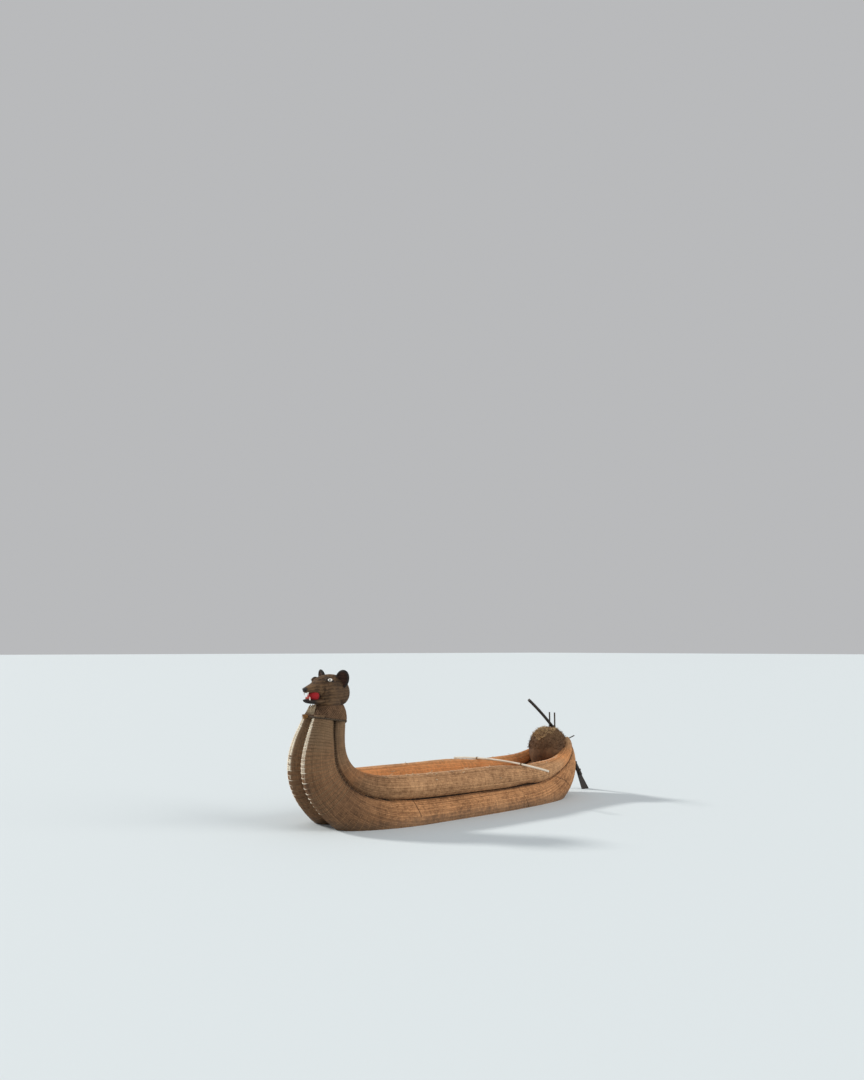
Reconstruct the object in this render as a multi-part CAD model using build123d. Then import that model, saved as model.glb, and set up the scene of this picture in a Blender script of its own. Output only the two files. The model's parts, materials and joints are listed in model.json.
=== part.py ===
"""Reed boat with a big-cat figurehead: two tapering hull bundles, a heart bundle between them and
two gunwale rolls, all gathered in a tall neck under a collar mat, with a sculling oar at the stern.

Millimetres.  +X is the bow, +Y is port, +Z is up.  The tables below are measured from amidships, the
centreline and the waterline; the finished boat is set down on its hull bundles, at its box's centre.
"""
from build123d import *
import os
from math import cos, radians, sin, sqrt, tan

seat = 0.4                # running gap between neighbouring reed pieces

# Hull bundles.  Each row: x, y, z of the centre, half height across the run, half width.
bundle_half = 400.0       # half height of a hull bundle amidships
bundle_mid_z = 30.0
hull_stations = [
    (2192, 133, 1770, 150, 124),
    (2215, 138, 1700, 160, 130),
    (2265, 150, 1540, 182, 144),
    (2325, 190, 1290, 225, 184),
    (2350, 207, 1040, 272, 201),
    (2300, 222, 790, 312, 216),
    (2130, 258, 545, 345, 252),
    (1870, 305, 315, 372, 298),
    (1480, 363, 135, 392, 354),
    (1000, 408, 50, bundle_half, 398),
    (400, 412, bundle_mid_z, bundle_half, 400),
    (-400, 405, bundle_mid_z, bundle_half, 393),
    (-1200, 383, bundle_mid_z, bundle_half, 371),
    (-1850, 350, 60, 382, 338),
    (-2340, 312, 160, 347, 298),
    (-2700, 272, 330, 300, 254),
    (-2905, 236, 545, 248, 205),
    (-2985, 205, 760, 190, 158),
    (-2990, 185, 895, 140, 122),
]

# Gunwale rolls, lashed on the bundles' shoulders.  Each row: x, y, z of the centre, radius.
roll_r = 186.0
roll_stations = [
    (1960, 136, 1770, 103),
    (1968, 140, 1700, 106),
    (1985, 150, 1540, 112),
    (2020, 180, 1300, 122),
    (2030, 228, 1080, 136),
    (1970, 310, 860, 150),
    (1820, 400, 702, 164),
    (1560, 482, 606, 175),
    (1150, 560, 562, 183),
    (500, 602, 550, roll_r),
    (-300, 605, 546, roll_r),
    (-1100, 580, 534, 181),
    (-1800, 532, 526, 168),
    (-2300, 474, 574, 146),
    (-2660, 405, 680, 120),
    (-2890, 325, 815, 99),
    (-2975, 262, 925, 88),
    (-2970, 205, 1014, 80),
]

# Heart bundle in the valley between the hull bundles: x, z of the centre, radius.
heart_r = 105.0
heart_stations = [(1750, 560, 60), (1350, 420, 85), (850, 332, heart_r), (0, 326, heart_r),
                  (-1100, 320, heart_r), (-1700, 345, 90), (-2150, 420, 70)]

# Deck mat over the crowns of the bundles.
mat_fore, mat_aft, mat_half = 1080.0, -1500.0, 392.0
mat_top, mat_thick = 462.0, 46.0

# The bundles are cut level inside the collar.  Collar mat: z, x of the centre, half length, half
# width and corner radius; its foot leans, higher at the bow.
neck_cut = 1700.0
collar_stations = [(1560, 2138, 292, 290, 178), (1700, 2114, 274, 272, 174), (1830, 2074, 214, 212, 168)]
foot_x, foot_z, foot_lean = 2138.0, 1642.0, 8.5
neck_x, neck_r, neck_top = 2080.0, 203.0, 1960.0

# Head, looking a little to port.  Cross-sections: distance before the neck's middle, z of the centre,
# half height, half width.
head_turn = 14.0
brow_mid, brow_half = (135, 148, 2214), (70, 46, 52)
skull_stations = [(-378, 2000, 50, 60), (-345, 2005, 135, 130), (-250, 2025, 218, 212), (-110, 2050, 247, 240),
                  (30, 2062, 238, 236), (150, 2072, 205, 208), (225, 2082, 165, 176)]
snout_stations = [(200, 2095, 140, 168), (290, 2100, 94, 134), (380, 2092, 64, 98), (460, 2080, 48, 68),
                  (505, 2074, 32, 36)]
jaw_stations = [(190, 1905, 46, 140), (300, 1898, 38, 112), (400, 1902, 32, 84), (465, 1912, 26, 58),
                (504, 1925, 14, 28)]

# Ears: cups that open forward.  Middle of the port ear, half sizes, outward lean, outward turn and wall.
ear_mid, ear_half = (-90, 213, 2224), (44, 114, 156)
ear_lean, ear_turn, ear_rim, ear_deep = 24.0, 24.0, 24.0, 34.0

# Middles and half sizes of eyes, pupils, nose, mouth lining and tongue; fangs by distance forward and half gap.
eye_mid, eye_half = (145, 186, 2222), (44, 22, 24)
pupil_mid, pupil_half = (164, 200, 2223), (13, 12, 16)
nose_mid, nose_half = (500, 0, 2090), (26, 42, 24)
lining_mid, lining_half = (300, 0, 1990), (112, 92, 88)
tongue_mid, tongue_half = (395, 0, 1955), (78, 30, 26)
fang_rows = [(466, 40, 2046, -1), (432, 45, 1924, 1)]
fang_r, fang_tip_r, fang_len = 13.0, 3.0, 52.0

# Rope round the neck, its straw tuft in front and its knot behind.
neck_rope_r, neck_rope_out = 13.0, 6.0
tuft_len, tuft_r, tuft_mouth_r = 66.0, 22.0, 40.0
knot_y, knot_half = 90.0, (24, 34, 30)

# Reed bolster at the stern, notched for the oar: it carries the forked post.
bolster_mid = (-2745.0, 0.0, 820.0)
bolster_half = (375.0, 345.0, 425.0)
notch_half_angle, notch_slope, notch_floor = 26.0, 50.0, 1118.0
notch_clear, notch_len = 6.0, 420.0

# Horn peg in the port roll's tip.
peg_line, peg_r = ((-2960.0, 214.0, 990.0), (-3175.0, 262.0, 1070.0)), 10.0

# Forked post, and the rope-wrapped saddle in its fork that the oar bears on.
fork_x = -2860.0
post_r, prong_r = 26.0, 14.0
post_foot, prong_top = 900.0, 1500.0
fork_half = 66.0          # half distance between the prongs, and radius of the fork's round bottom
fork_z = 1206.0           # centre of the fork's round bottom
saddle_r, saddle_half = 12.0, 40.0
fork_inner = fork_half - prong_r
saddle_z = fork_z - sqrt((fork_inner - seat) ** 2 - saddle_half ** 2) + saddle_r

# Sculling oar: a bent shaft and a plank blade lashed to its starboard side.
shaft_r = 27.0
oar_angle = 45.0          # below level, where the shaft crosses the saddle
bend_r = 5200.0
loom_len, shaft_len = 830.0, 1180.0      # from the saddle to the handle's end and to the lower end
lash_run = shaft_len - 280.0             # from the saddle to the middle band of the blade's lashing
band_pitch, blade_knee = 180.0, 200.0    # from the middle band to the next, and to where the blade widens
blade_up, blade_down = 230.0, 780.0      # from the middle band to the blade's top and tip
blade_top, blade_tip, blade_thick, blade_corner = 62.0, 190.0, 22.0, 50.0
band_r, bend_slack, strop_gap = 6.0, 2.6, 3.0

# Bowed pole laid across both gunwale rolls, its port end further aft and both ends drooping.
pole_r = 18.0
pole_x, pole_half, pole_skew, pole_droop = -1485.0, 1190.0, 90.0, 52.0


def along(points):
    """Unit run of a chain of points at each of its points."""
    runs = []
    for i in range(len(points)):
        before, after = points[max(i - 1, 0)], points[min(i + 1, len(points) - 1)]
        runs.append((after - before).normalized())
    return runs


def sections(stations):
    """Plane square to the run at each row of x, y, z, half height, half width."""
    points = [Vector(*row[:3]) for row in stations]
    return [Plane(point, x_dir=Vector(0, 1, 0) - run * run.Y, z_dir=run)
            for point, run in zip(points, along(points))]


def tube(stations, grow=0.0):
    """Loft of ellipses through the rows."""
    return loft([plane * Ellipse(row[4] + grow, row[3] + grow)
                 for plane, row in zip(sections(stations), stations)])


def row_at(rows, value):
    """Row of a table, worked out between its neighbours where the first column has this value."""
    for a, b in zip(rows, rows[1:]):
        if min(a[0], b[0]) <= value <= max(a[0], b[0]):
            share = (value - a[0]) / (b[0] - a[0])
            return [p + (q - p) * share for p, q in zip(a, b)]


def stack(stations, grow=0.0):
    """Loft along x of upright ellipses: x, z of the centre, half height, half width."""
    return loft([Plane((x, 0, z), x_dir=(0, 1, 0), z_dir=(1, 0, 0)) * Ellipse(wide + grow, tall + grow)
                 for x, z, tall, wide in stations])


def sleeve(stations):
    """Loft along z of level rounded rectangles: z, x, half length, half width, corner radius."""
    return loft([Pos(x, 0, z) * RectangleRounded(2 * long, 2 * wide, corner)
                 for z, x, long, wide, corner in stations])


def rod(start, end, radius):
    """Round bar between two points."""
    start, end = Vector(*start), Vector(*end)
    run = end - start
    return extrude(Plane(start, z_dir=run) * Circle(radius), run.length)


def ellipsoid(mid, half, grow=0.0):
    return Pos(*mid) * scale(Sphere(1), by=tuple(size + grow for size in half))


def starboard(solid):
    return mirror(solid, about=Plane.XZ)


parts = {}

# Hull bundles, with slightly larger copies that cut the seats of what lies on them.
above_cut = Pos(neck_x, 0, neck_cut + 500) * Box(2000, 2000, 1000)
hull_port = tube(hull_stations) - above_cut
hull_seat = tube(hull_stations, seat)
hull_seats = [hull_seat, starboard(hull_seat)]
parts["hull_bundle_port"] = hull_port
parts["hull_bundle_starboard"] = starboard(hull_port)

roll_rows = [(x, y, z, r, r) for x, y, z, r in roll_stations]
roll_port = tube(roll_rows) - hull_seat - above_cut - rod(*peg_line, peg_r + seat)
roll_seat = tube(roll_rows, seat)
roll_seats = [roll_seat, starboard(roll_seat)]
parts["gunwale_roll_port"] = roll_port
parts["gunwale_roll_starboard"] = starboard(roll_port)

heart_rows = [(x, 0, z, r, r) for x, z, r in heart_stations]
parts["heart_bundle"] = tube(heart_rows) - hull_seats
heart_seat = tube(heart_rows, seat)

mat_mid = Pos((mat_fore + mat_aft) / 2, 0, mat_top - mat_thick / 2)
mat_size = Vector(mat_fore - mat_aft, 2 * mat_half, mat_thick)
parts["deck_mat"] = mat_mid * Box(*mat_size) - hull_seats - heart_seat

# Head on its neck, in its own frame: x from the neck's middle.
to_head = Pos(neck_x, 0, 0) * Rot(0, 0, head_turn)
neck_foot = neck_cut + seat
neck = Pos(0, 0, neck_foot) * extrude(Circle(neck_r), neck_top - neck_foot)


def skull_form(grow=0.0):
    brow = ellipsoid(brow_mid, brow_half, grow)
    return stack(skull_stations, grow) + brow + starboard(brow)


skull_seat, snout_seat, jaw_seat = skull_form(seat), stack(snout_stations, seat), stack(jaw_stations, seat)
eye_seat, lining_seat = ellipsoid(eye_mid, eye_half, seat), ellipsoid(lining_mid, lining_half, seat)
head = {}
head["head_skull"] = skull_form() + neck - snout_seat - jaw_seat
head["head_snout"] = stack(snout_stations)
head["head_jaw"] = stack(jaw_stations)
rim_half = [size - ear_rim for size in ear_half]
rim_half[0] = ear_half[0] - ear_rim / 3
cup = ellipsoid((0, 0, 0), ear_half) - ellipsoid((ear_deep, 0, 0), rim_half)
ear = Pos(*ear_mid) * Rot(-ear_lean, 0, ear_turn) * cup - skull_seat
eye = ellipsoid(eye_mid, eye_half) - skull_seat
pupil = ellipsoid(pupil_mid, pupil_half) - skull_seat - eye_seat
for name, solid in (("ear", ear), ("eye", eye), ("pupil", pupil)):
    head[name + "_port"] = solid
    head[name + "_starboard"] = starboard(solid)
head["nose"] = ellipsoid(nose_mid, nose_half) - snout_seat
head["mouth_lining"] = ellipsoid(lining_mid, lining_half) - [snout_seat, jaw_seat, skull_seat, neck]
head["tongue"] = ellipsoid(tongue_mid, tongue_half) - [jaw_seat, lining_seat, skull_seat]
fangs = []
for x, y, z, way in fang_rows:
    cone = Cone(fang_r, fang_tip_r, fang_len, align=(Align.CENTER, Align.CENTER, Align.MIN))
    for side in (y, -y):
        fangs += (Pos(x, side, z) * Rot(90 - 90 * way, 0, 0) * cone - snout_seat - jaw_seat).solids()
head["teeth"] = Compound(fangs)
for name, solid in head.items():
    parts[name] = to_head * solid

# Collar mat that binds the four bundles under the head, cut to its leaning foot.
foot_long, foot_wide, foot_corner = row_at(collar_stations, foot_z)[2:]
lean = radians(foot_lean)
foot = Plane((foot_x, 0, foot_z), x_dir=(cos(lean), 0, sin(lean)), z_dir=(-sin(lean), 0, cos(lean)))
under_foot = foot * Pos(0, 0, -500) * Box(2000, 2000, 1000)
neck_seat = Pos(neck_x, 0, neck_cut) * extrude(Circle(neck_r + seat), 400)
collar_seats = [solid - above_cut for solid in hull_seats + roll_seats]
head_seats = [to_head * skull_seat, to_head * jaw_seat]
parts["neck_collar"] = sleeve(collar_stations) - collar_seats - neck_seat - under_foot - head_seats

# Neck rope under the collar with its straw tuft and its knot.
rope_plane = foot * Pos(0, 0, -neck_rope_r - seat)
ring_long, ring_wide = foot_long + neck_rope_out, foot_wide + neck_rope_out
ring = RectangleRounded(2 * ring_long, 2 * ring_wide, foot_corner + neck_rope_out)
ring_path = rope_plane * ring.face().outer_wire()
neck_rope = sweep(Plane(ring_path @ 0, z_dir=ring_path % 0) * Circle(neck_rope_r), ring_path)
parts["neck_rope"] = neck_rope - hull_seats - roll_seats
clear_of_rope = ring_long + neck_rope_r + seat
parts["neck_tuft"] = rope_plane * Pos(clear_of_rope, 0, 0) * Rot(0, 90, 0) * Cone(
    tuft_r, tuft_mouth_r, tuft_len, align=(Align.CENTER, Align.CENTER, Align.MIN))
parts["neck_knot"] = rope_plane * ellipsoid((-clear_of_rope - knot_half[0], knot_y, 0), knot_half)

# Stern bolster with its notch, a wedge in plan whose floor falls aft under the oar.
post = rod((fork_x, 0, post_foot), (fork_x, 0, fork_z - fork_half), post_r)
post_seat = rod((fork_x, 0, post_foot - seat), (fork_x, 0, fork_z), post_r + seat)
notch_apex = fork_x + (fork_half + prong_r + notch_clear) / tan(radians(notch_half_angle))
notch_end = fork_x - notch_len
notch_half = (notch_apex - notch_end) * tan(radians(notch_half_angle))
notch_drop = (notch_len - notch_clear) * tan(radians(notch_slope))
notch_top = bolster_mid[2] + bolster_half[2] + notch_clear
plan = Polyline((notch_apex, 0), (notch_end, notch_half), (notch_end, -notch_half), close=True)
side = Polyline((notch_apex, notch_top), (notch_apex, notch_floor), (fork_x - notch_clear, notch_floor),
                (notch_end, notch_floor - notch_drop), (notch_end, notch_top), close=True)
notch = (extrude(make_face(plan), 3000)
         & extrude(make_face(Plane.XZ * side), 2 * notch_half, both=True))
bolster = ellipsoid(bolster_mid, bolster_half)
parts["stern_bolster"] = bolster - hull_seats - roll_seats - heart_seat - post_seat - notch

parts["stern_peg"] = rod(*peg_line, peg_r)

# Forked post.
fork_path = ThreePointArc((fork_x, fork_half, fork_z), (fork_x, 0, fork_z - fork_half),
                          (fork_x, -fork_half, fork_z))
fork = post + sweep(Plane((fork_x, fork_half, fork_z)) * Circle(prong_r), fork_path)
for y in (fork_half, -fork_half):
    fork += rod((fork_x, y, fork_z), (fork_x, y, prong_top), prong_r)
parts["oar_fork"] = fork

# Saddle and oar, in the upright plane of the centreline.
saddle_mid = Vector(fork_x, 0, saddle_z)
parts["fork_saddle"] = rod((fork_x, -saddle_half, saddle_z), (fork_x, saddle_half, saddle_z), saddle_r)
oar_tilt = radians(oar_angle)
aft, over = Vector(-cos(oar_tilt), 0, -sin(oar_tilt)), Vector(-sin(oar_tilt), 0, cos(oar_tilt))
bear = saddle_mid + over * (saddle_r + seat + shaft_r)


def on_oar(run, y=0.0):
    """Point on the bent shaft's axis, a run aft of the saddle, moved to port by y."""
    return bear + aft * run - over * (run * run / (2 * bend_r)) + Vector(0, y, 0)


shaft_path = ThreePointArc(on_oar(-loom_len), on_oar(0), on_oar(shaft_len))
parts["oar_shaft"] = sweep(Plane(on_oar(-loom_len), z_dir=shaft_path % 0) * Circle(shaft_r), shaft_path)

# Blade: its upper edge runs along the shaft, its lower edge spreads to the tip.
blade_y = shaft_r + seat + blade_thick / 2
lash_way = (aft - over * (lash_run / bend_r)).normalized()
blade_plane = Plane(on_oar(lash_run, blade_y), x_dir=lash_way, z_dir=(0, 1, 0))
outline = Polyline((-blade_up, shaft_r), (blade_down - blade_corner, shaft_r),
                   (blade_down, shaft_r - blade_corner), (blade_down, shaft_r - blade_tip + blade_corner),
                   (blade_down - blade_corner, shaft_r - blade_tip), (blade_knee, shaft_r - blade_top),
                   (-blade_up, shaft_r - blade_top), close=True)
parts["oar_blade"] = starboard(extrude(blade_plane * make_face(outline), blade_thick / 2, both=True))

# Rope strop round the shaft on both sides of the saddle, and bands round shaft and blade.
strop = []
for side in (-1, 1):
    run = side * (saddle_r + band_r + strop_gap)
    strop.append(Plane(on_oar(run), z_dir=aft) * Torus(shaft_r + seat + band_r, band_r))
parts["oar_strop"] = Compound(strop)
tie_wide = blade_y + blade_thick / 2 + shaft_r + 2 * seat
tie_tall = blade_top + 2 * (seat + bend_slack)
tie = (RectangleRounded(tie_wide + 2 * band_r, tie_tall + 2 * band_r, band_r)
       - RectangleRounded(tie_wide, tie_tall, seat))
ties = []
for step in (-1, 0, 1):
    middle = blade_plane * Pos(step * band_pitch, shaft_r - blade_top / 2, blade_thick / 2 + seat - tie_wide / 2)
    ties += starboard(extrude(middle * Rot(0, 90, 0) * tie, band_r, both=True)).solids()
parts["blade_bands"] = Compound(ties)

# Bowed pole, down to its seat on the rolls' crowns.
pole_crown = row_at(roll_stations, pole_x)[1]
crowns = []
for side in (1, -1):
    x = pole_x - side * pole_skew / 2 * pole_crown / pole_half
    slice_here = roll_port & Pos(x, 0, 0) * Box(2 * pole_r, 4000, 4000)
    crowns.append(Vector(x, side * pole_crown, slice_here.bounding_box().max.Z + pole_r + seat))
pole_mid = (crowns[0] + crowns[1]) / 2
pole_bend_r = (pole_half ** 2 - pole_crown ** 2) / (2 * pole_droop)
rise, drop = Vector(0, 0, pole_crown ** 2 / (2 * pole_bend_r)), Vector(0, 0, pole_droop)
reach = (crowns[0] - pole_mid) * (pole_half / pole_crown)
pole_path = ThreePointArc(pole_mid + reach - drop, pole_mid + rise, pole_mid - reach - drop)
parts["cross_pole"] = sweep(Plane(pole_path @ 0, z_dir=pole_path % 0) * Circle(pole_r), pole_path)

boxes = [solid.bounding_box() for solid in parts.values()]
fore, aft_end = max(box.max.X for box in boxes), min(box.min.X for box in boxes)
lowest = min(box.min.Z for box in boxes)
to_frame = Pos(-(fore + aft_end) / 2, 0, -lowest)
print("moved to its frame by", to_frame.position)

os.makedirs("parts", exist_ok=True)
for name, solid in parts.items():
    export_step(to_frame * solid, f"parts/{name}.step")
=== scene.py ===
# %% [markdown]
# # A reed boat with a big-cat figurehead
# Two thick bundles of bound reed make the hull, two thinner rolls run along their shoulders, and all
# four are gathered in a tall neck that carries a carved-looking reed head. A sculling oar lies in a
# forked post at the stern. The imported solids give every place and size. This lesson lays the reeds,
# ropes, straw and painted finishes over them.

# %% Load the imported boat
import json
import random
from math import atan2, cos, pi, radians, sin, sqrt

import bmesh
import bpy
from mathutils import Matrix, Vector
from mathutils.bvhtree import BVHTree


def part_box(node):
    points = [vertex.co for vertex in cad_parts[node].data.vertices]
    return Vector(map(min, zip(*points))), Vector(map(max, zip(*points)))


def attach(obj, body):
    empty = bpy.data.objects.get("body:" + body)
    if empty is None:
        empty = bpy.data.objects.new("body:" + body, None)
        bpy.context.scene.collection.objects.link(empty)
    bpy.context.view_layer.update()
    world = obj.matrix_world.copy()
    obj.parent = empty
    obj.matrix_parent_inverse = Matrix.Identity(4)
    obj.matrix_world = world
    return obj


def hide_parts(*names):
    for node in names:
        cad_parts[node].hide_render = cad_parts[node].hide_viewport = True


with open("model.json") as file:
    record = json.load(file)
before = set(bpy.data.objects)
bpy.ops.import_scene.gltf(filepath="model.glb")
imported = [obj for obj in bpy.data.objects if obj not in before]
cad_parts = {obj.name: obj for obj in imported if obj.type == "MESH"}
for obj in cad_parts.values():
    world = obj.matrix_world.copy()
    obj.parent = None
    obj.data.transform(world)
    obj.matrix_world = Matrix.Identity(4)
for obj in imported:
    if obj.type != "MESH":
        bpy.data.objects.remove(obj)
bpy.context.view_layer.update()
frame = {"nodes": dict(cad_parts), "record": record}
solid = frame["nodes"]
origin = Vector(next(m["pos_m"] for m in frame["record"]["mounts"] if m["name"] == "waterline"))


def place(x, y, z):
    """Point measured in millimetres from amidships, the centreline and the waterline."""
    return origin + Vector((x, y, z)) / 1000


def middle_of(name):
    """Middle of a solid's box."""
    low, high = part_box(name)
    return (Vector(low) + Vector(high)) / 2


def held(value, low=0.0, high=1.0):
    """The value, or the limit that it passes."""
    return min(max(value, low), high)


print(len(solid), "solids; waterline", round(origin.z, 3), "m above the floor of the frame")

# %% [markdown]
# ## Wires that Python can calculate with
# A material is a chain of small nodes. Written node by node it is hard to read, so one small class
# wraps a socket: sums and products of two wires add the Math nodes by themselves, and one method adds
# any other node. The same class serves shader trees and Geometry Nodes trees.

# %% The wire class
class Wire:
    """A node socket that takes part in Python expressions."""

    def __init__(self, tree, socket=None):
        self.tree, self.socket = tree, socket

    def node(self, kind, settings=None, sockets=None, out=0):
        """Add a node: settings first, then values or wires for its sockets, and return one output."""
        made = self.tree.nodes.new(kind)
        for name, value in (settings or {}).items():
            setattr(made, name, value)
        for name, value in (sockets or {}).items():
            if isinstance(value, Wire):
                self.tree.links.new(value.socket, made.inputs[name])
            else:
                made.inputs[name].default_value = value
        return Wire(self.tree, made.outputs[out])

    def maths(self, operation, *values):
        return self.node("ShaderNodeMath", {"operation": operation}, dict(enumerate(values)))

    def __add__(self, other):
        return self.maths("ADD", self, other)

    def __sub__(self, other):
        return self.maths("SUBTRACT", self, other)

    def __rsub__(self, other):
        return self.maths("SUBTRACT", other, self)

    def __mul__(self, other):
        return self.maths("MULTIPLY", self, other)

    def clamp(self):
        """The value, held between 0 and 1."""
        return self.maths("MINIMUM", self.maths("MAXIMUM", self, 0.0), 1.0)

    def apply(self, operation):
        """An operation that takes this wire alone, such as a sine."""
        return self.maths(operation, self)

    def step(self, start, end):
        """0 up to start, 1 from end, and smooth between."""
        return self.node("ShaderNodeMapRange", {"interpolation_type": "SMOOTHSTEP"},
                         {0: self, 1: start, 2: end})

    def mix(self, below, above):
        """Colour below where this value is 0 and colour above where it is 1."""
        return self.node("ShaderNodeMix", {"data_type": "RGBA"}, {0: self, 6: below, 7: above}, out=2)

    def axis(self, letter):
        """One coordinate of a vector."""
        return self.node("ShaderNodeSeparateXYZ", None, {0: self}, out="XYZ".index(letter))

    def vector(self, x, y, z):
        """Vector from three numbers or wires."""
        return self.node("ShaderNodeCombineXYZ", None, {0: x, 1: y, 2: z})

    def stretch(self, x, y, z):
        """Vector multiplied along each axis."""
        return self.node("ShaderNodeVectorMath", {"operation": "MULTIPLY"}, {0: self, 1: (x, y, z)})

    def noise(self, scale, detail, rough=0.55):
        """Soft random value near 0.5 at this place."""
        return self.node("ShaderNodeTexNoise", None,
                         {"Vector": self, "Scale": scale, "Detail": detail, "Roughness": rough})


def colour(r, g, b):
    return (r, g, b, 1.0)


class Finish:
    """A material under construction: its surface shader and the places a pattern can read."""

    def __init__(self, name, slot, rough=0.75):
        self.slot = slot
        self.material = bpy.data.materials.new(name)
        self.material.use_nodes = True
        tree = self.material.node_tree
        self.shader = tree.nodes["Principled BSDF"]
        self.tree = tree
        self.shader.inputs["Roughness"].default_value = rough
        self.shader.inputs["Specular IOR Level"].default_value = 0.3
        self.wire = Wire(tree)
        self.spot = self.wire.node("ShaderNodeTexCoord", out=3)

    def attribute(self, name, out=2):
        """A value (2), vector (1) or colour (0) that the mesh carries."""
        return self.wire.node("ShaderNodeAttribute", {"attribute_name": name}, out=out)

    def feed(self, socket, wire):
        self.tree.links.new(wire.socket, self.shader.inputs[socket])

    def bump(self, height, depth, strength=1.0):
        """Raised detail of this depth in metres."""
        self.feed("Normal", self.wire.node("ShaderNodeBump", None,
                  {"Strength": strength, "Distance": depth, "Height": height}))


print("wire class ready")

# %% [markdown]
# ## Tubes that follow guides
# Reeds, cords and ropes are all long round things that lie on a surface. Modelling each one by hand
# would be slow, so a short Python step draws only their middle lines as bare edges, and one Geometry
# Nodes tree turns every line into a tube. Each point carries its thickness and its tone, and the tree
# adds the distance along the line and the direction round it, which the materials read later.

# %% The tube tree
def new_tree(name, *sockets):
    """An empty Geometry Nodes tree with named inputs, and its input and output nodes."""
    tree = bpy.data.node_groups.new(name, "GeometryNodeTree")
    tree.interface.new_socket("Geometry", in_out="INPUT", socket_type="NodeSocketGeometry")
    for label, kind in sockets:
        tree.interface.new_socket(label, in_out="INPUT", socket_type="NodeSocket" + kind)
    tree.interface.new_socket("Geometry", in_out="OUTPUT", socket_type="NodeSocketGeometry")
    return tree, tree.nodes.new("NodeGroupInput"), tree.nodes.new("NodeGroupOutput")


def store(wire, geometry, name, value, kind="FLOAT"):
    """Keep a value on the points of a geometry under a name."""
    return wire.node("GeometryNodeStoreNamedAttribute", {"data_type": kind, "domain": "POINT"},
                     {"Geometry": geometry, "Name": name, "Value": value})


tube_tree, given, result = new_tree("tubes_on_guides", ("Sides", "Int"), ("Finish", "Material"))
wire = Wire(tube_tree)
lines = wire.node("GeometryNodeMeshToCurve", None, {0: Wire(tube_tree, given.outputs["Geometry"])})
thick = wire.node("GeometryNodeInputNamedAttribute", {"data_type": "FLOAT"}, {"Name": "thick"})
lines = wire.node("GeometryNodeSetCurveRadius", None, {"Curve": lines, "Radius": thick})
lines = store(wire, lines, "run", wire.node("GeometryNodeSplineParameter", out=1))
ring = wire.node("GeometryNodeCurvePrimitiveCircle", None,
                 {"Resolution": Wire(tube_tree, given.outputs["Sides"]), "Radius": 1.0})
ring = store(wire, ring, "around", wire.node("GeometryNodeInputPosition"), "FLOAT_VECTOR")
tubes = wire.node("GeometryNodeCurveToMesh", None,
                  {"Curve": lines, "Profile Curve": ring, "Scale": thick, "Fill Caps": True})
tubes = wire.node("GeometryNodeSetShadeSmooth", None, {"Geometry": tubes})
tubes = wire.node("GeometryNodeRealizeInstances", None, {"Geometry": tubes})
tubes = wire.node("GeometryNodeSetMaterial", None,
                  {"Geometry": tubes, "Material": Wire(tube_tree, given.outputs["Finish"])})
tube_tree.links.new(tubes.socket, result.inputs[0])


def link(name, mesh):
    piece = bpy.data.objects.new(name, mesh)
    bpy.context.scene.collection.objects.link(piece)
    return piece


def applied(piece):
    """Mesh of a piece with its modifiers applied; the piece itself goes."""
    made = bpy.data.meshes.new_from_object(piece.evaluated_get(bpy.context.evaluated_depsgraph_get()))
    bpy.data.objects.remove(piece)
    return made


def grow(name, mesh, tree, finish, **values):
    """Run a tree on a mesh and keep the result as a plain piece in this finish."""
    host = link(name + "_guide", mesh)
    growth = host.modifiers.new("growth", "NODES")
    growth.node_group = tree
    values["Finish"] = finish.material
    for item in tree.interface.items_tree:
        if item.in_out == "INPUT" and item.name in values:
            growth[item.identifier] = values[item.name]
    made = applied(host)
    if not made.materials:
        made.materials.append(finish.material)
    print(f"{name}: {sum(len(p.vertices) - 2 for p in made.polygons)} triangles")
    return link(name, made)


def guide_mesh(name, guides):
    """Bare edges for the tree. A guide is its points, a thickness, a tone and whether it closes on
    itself; thickness and tone may be lists with one value for each point."""
    mesh = bpy.data.meshes.new(name)
    points, edges, thickness, tones = [], [], [], []
    for line, size, tone, closed in guides:
        first = len(points)
        points += line
        thickness += size if isinstance(size, list) else [size] * len(line)
        tones += tone if isinstance(tone, list) else [tone] * len(line)
        edges += [(first + i, first + i + 1) for i in range(len(line) - 1)]
        if closed:
            edges.append((len(points) - 1, first))
    mesh.from_pydata(points, edges, [])
    for label, data in (("thick", thickness), ("tone", tones)):
        mesh.attributes.new(label, "FLOAT", "POINT").data.foreach_set("value", data)
    return mesh


def tubes_on(name, guides, finish, body="hull", sides=5, stands_for=()):
    """Tubes along guides, riding on a body."""
    piece = grow(name, guide_mesh(name, guides), tube_tree, finish, Sides=sides)
    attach(piece, body)
    if stands_for:
        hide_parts(*stands_for)
    return piece


def tubes_on_side(name, guides, finish, side):
    """Tubes along guides laid to port: left there for side 1, mirrored to starboard for side -1."""
    if side < 0:
        guides = [([Vector((p.x, -p.y, p.z)) for p in line], *rest) for line, *rest in guides]
    tubes_on(name + ("_port" if side > 0 else "_starboard"), guides, finish)


print("tube tree:", len(tube_tree.nodes), "nodes")

# %% [markdown]
# ## The bundles' own measurements
# The same short tables that shape the solids say where each bundle runs: a row gives the middle of a
# cross-section and its half sizes. Between rows a smooth curve fills in. To lie exactly on the finished
# solid, a point is then found by casting a ray at it from outside, and where the ray goes deeper than
# the bundle's own skin, a neighbour lies there and the reed is left out.

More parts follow.
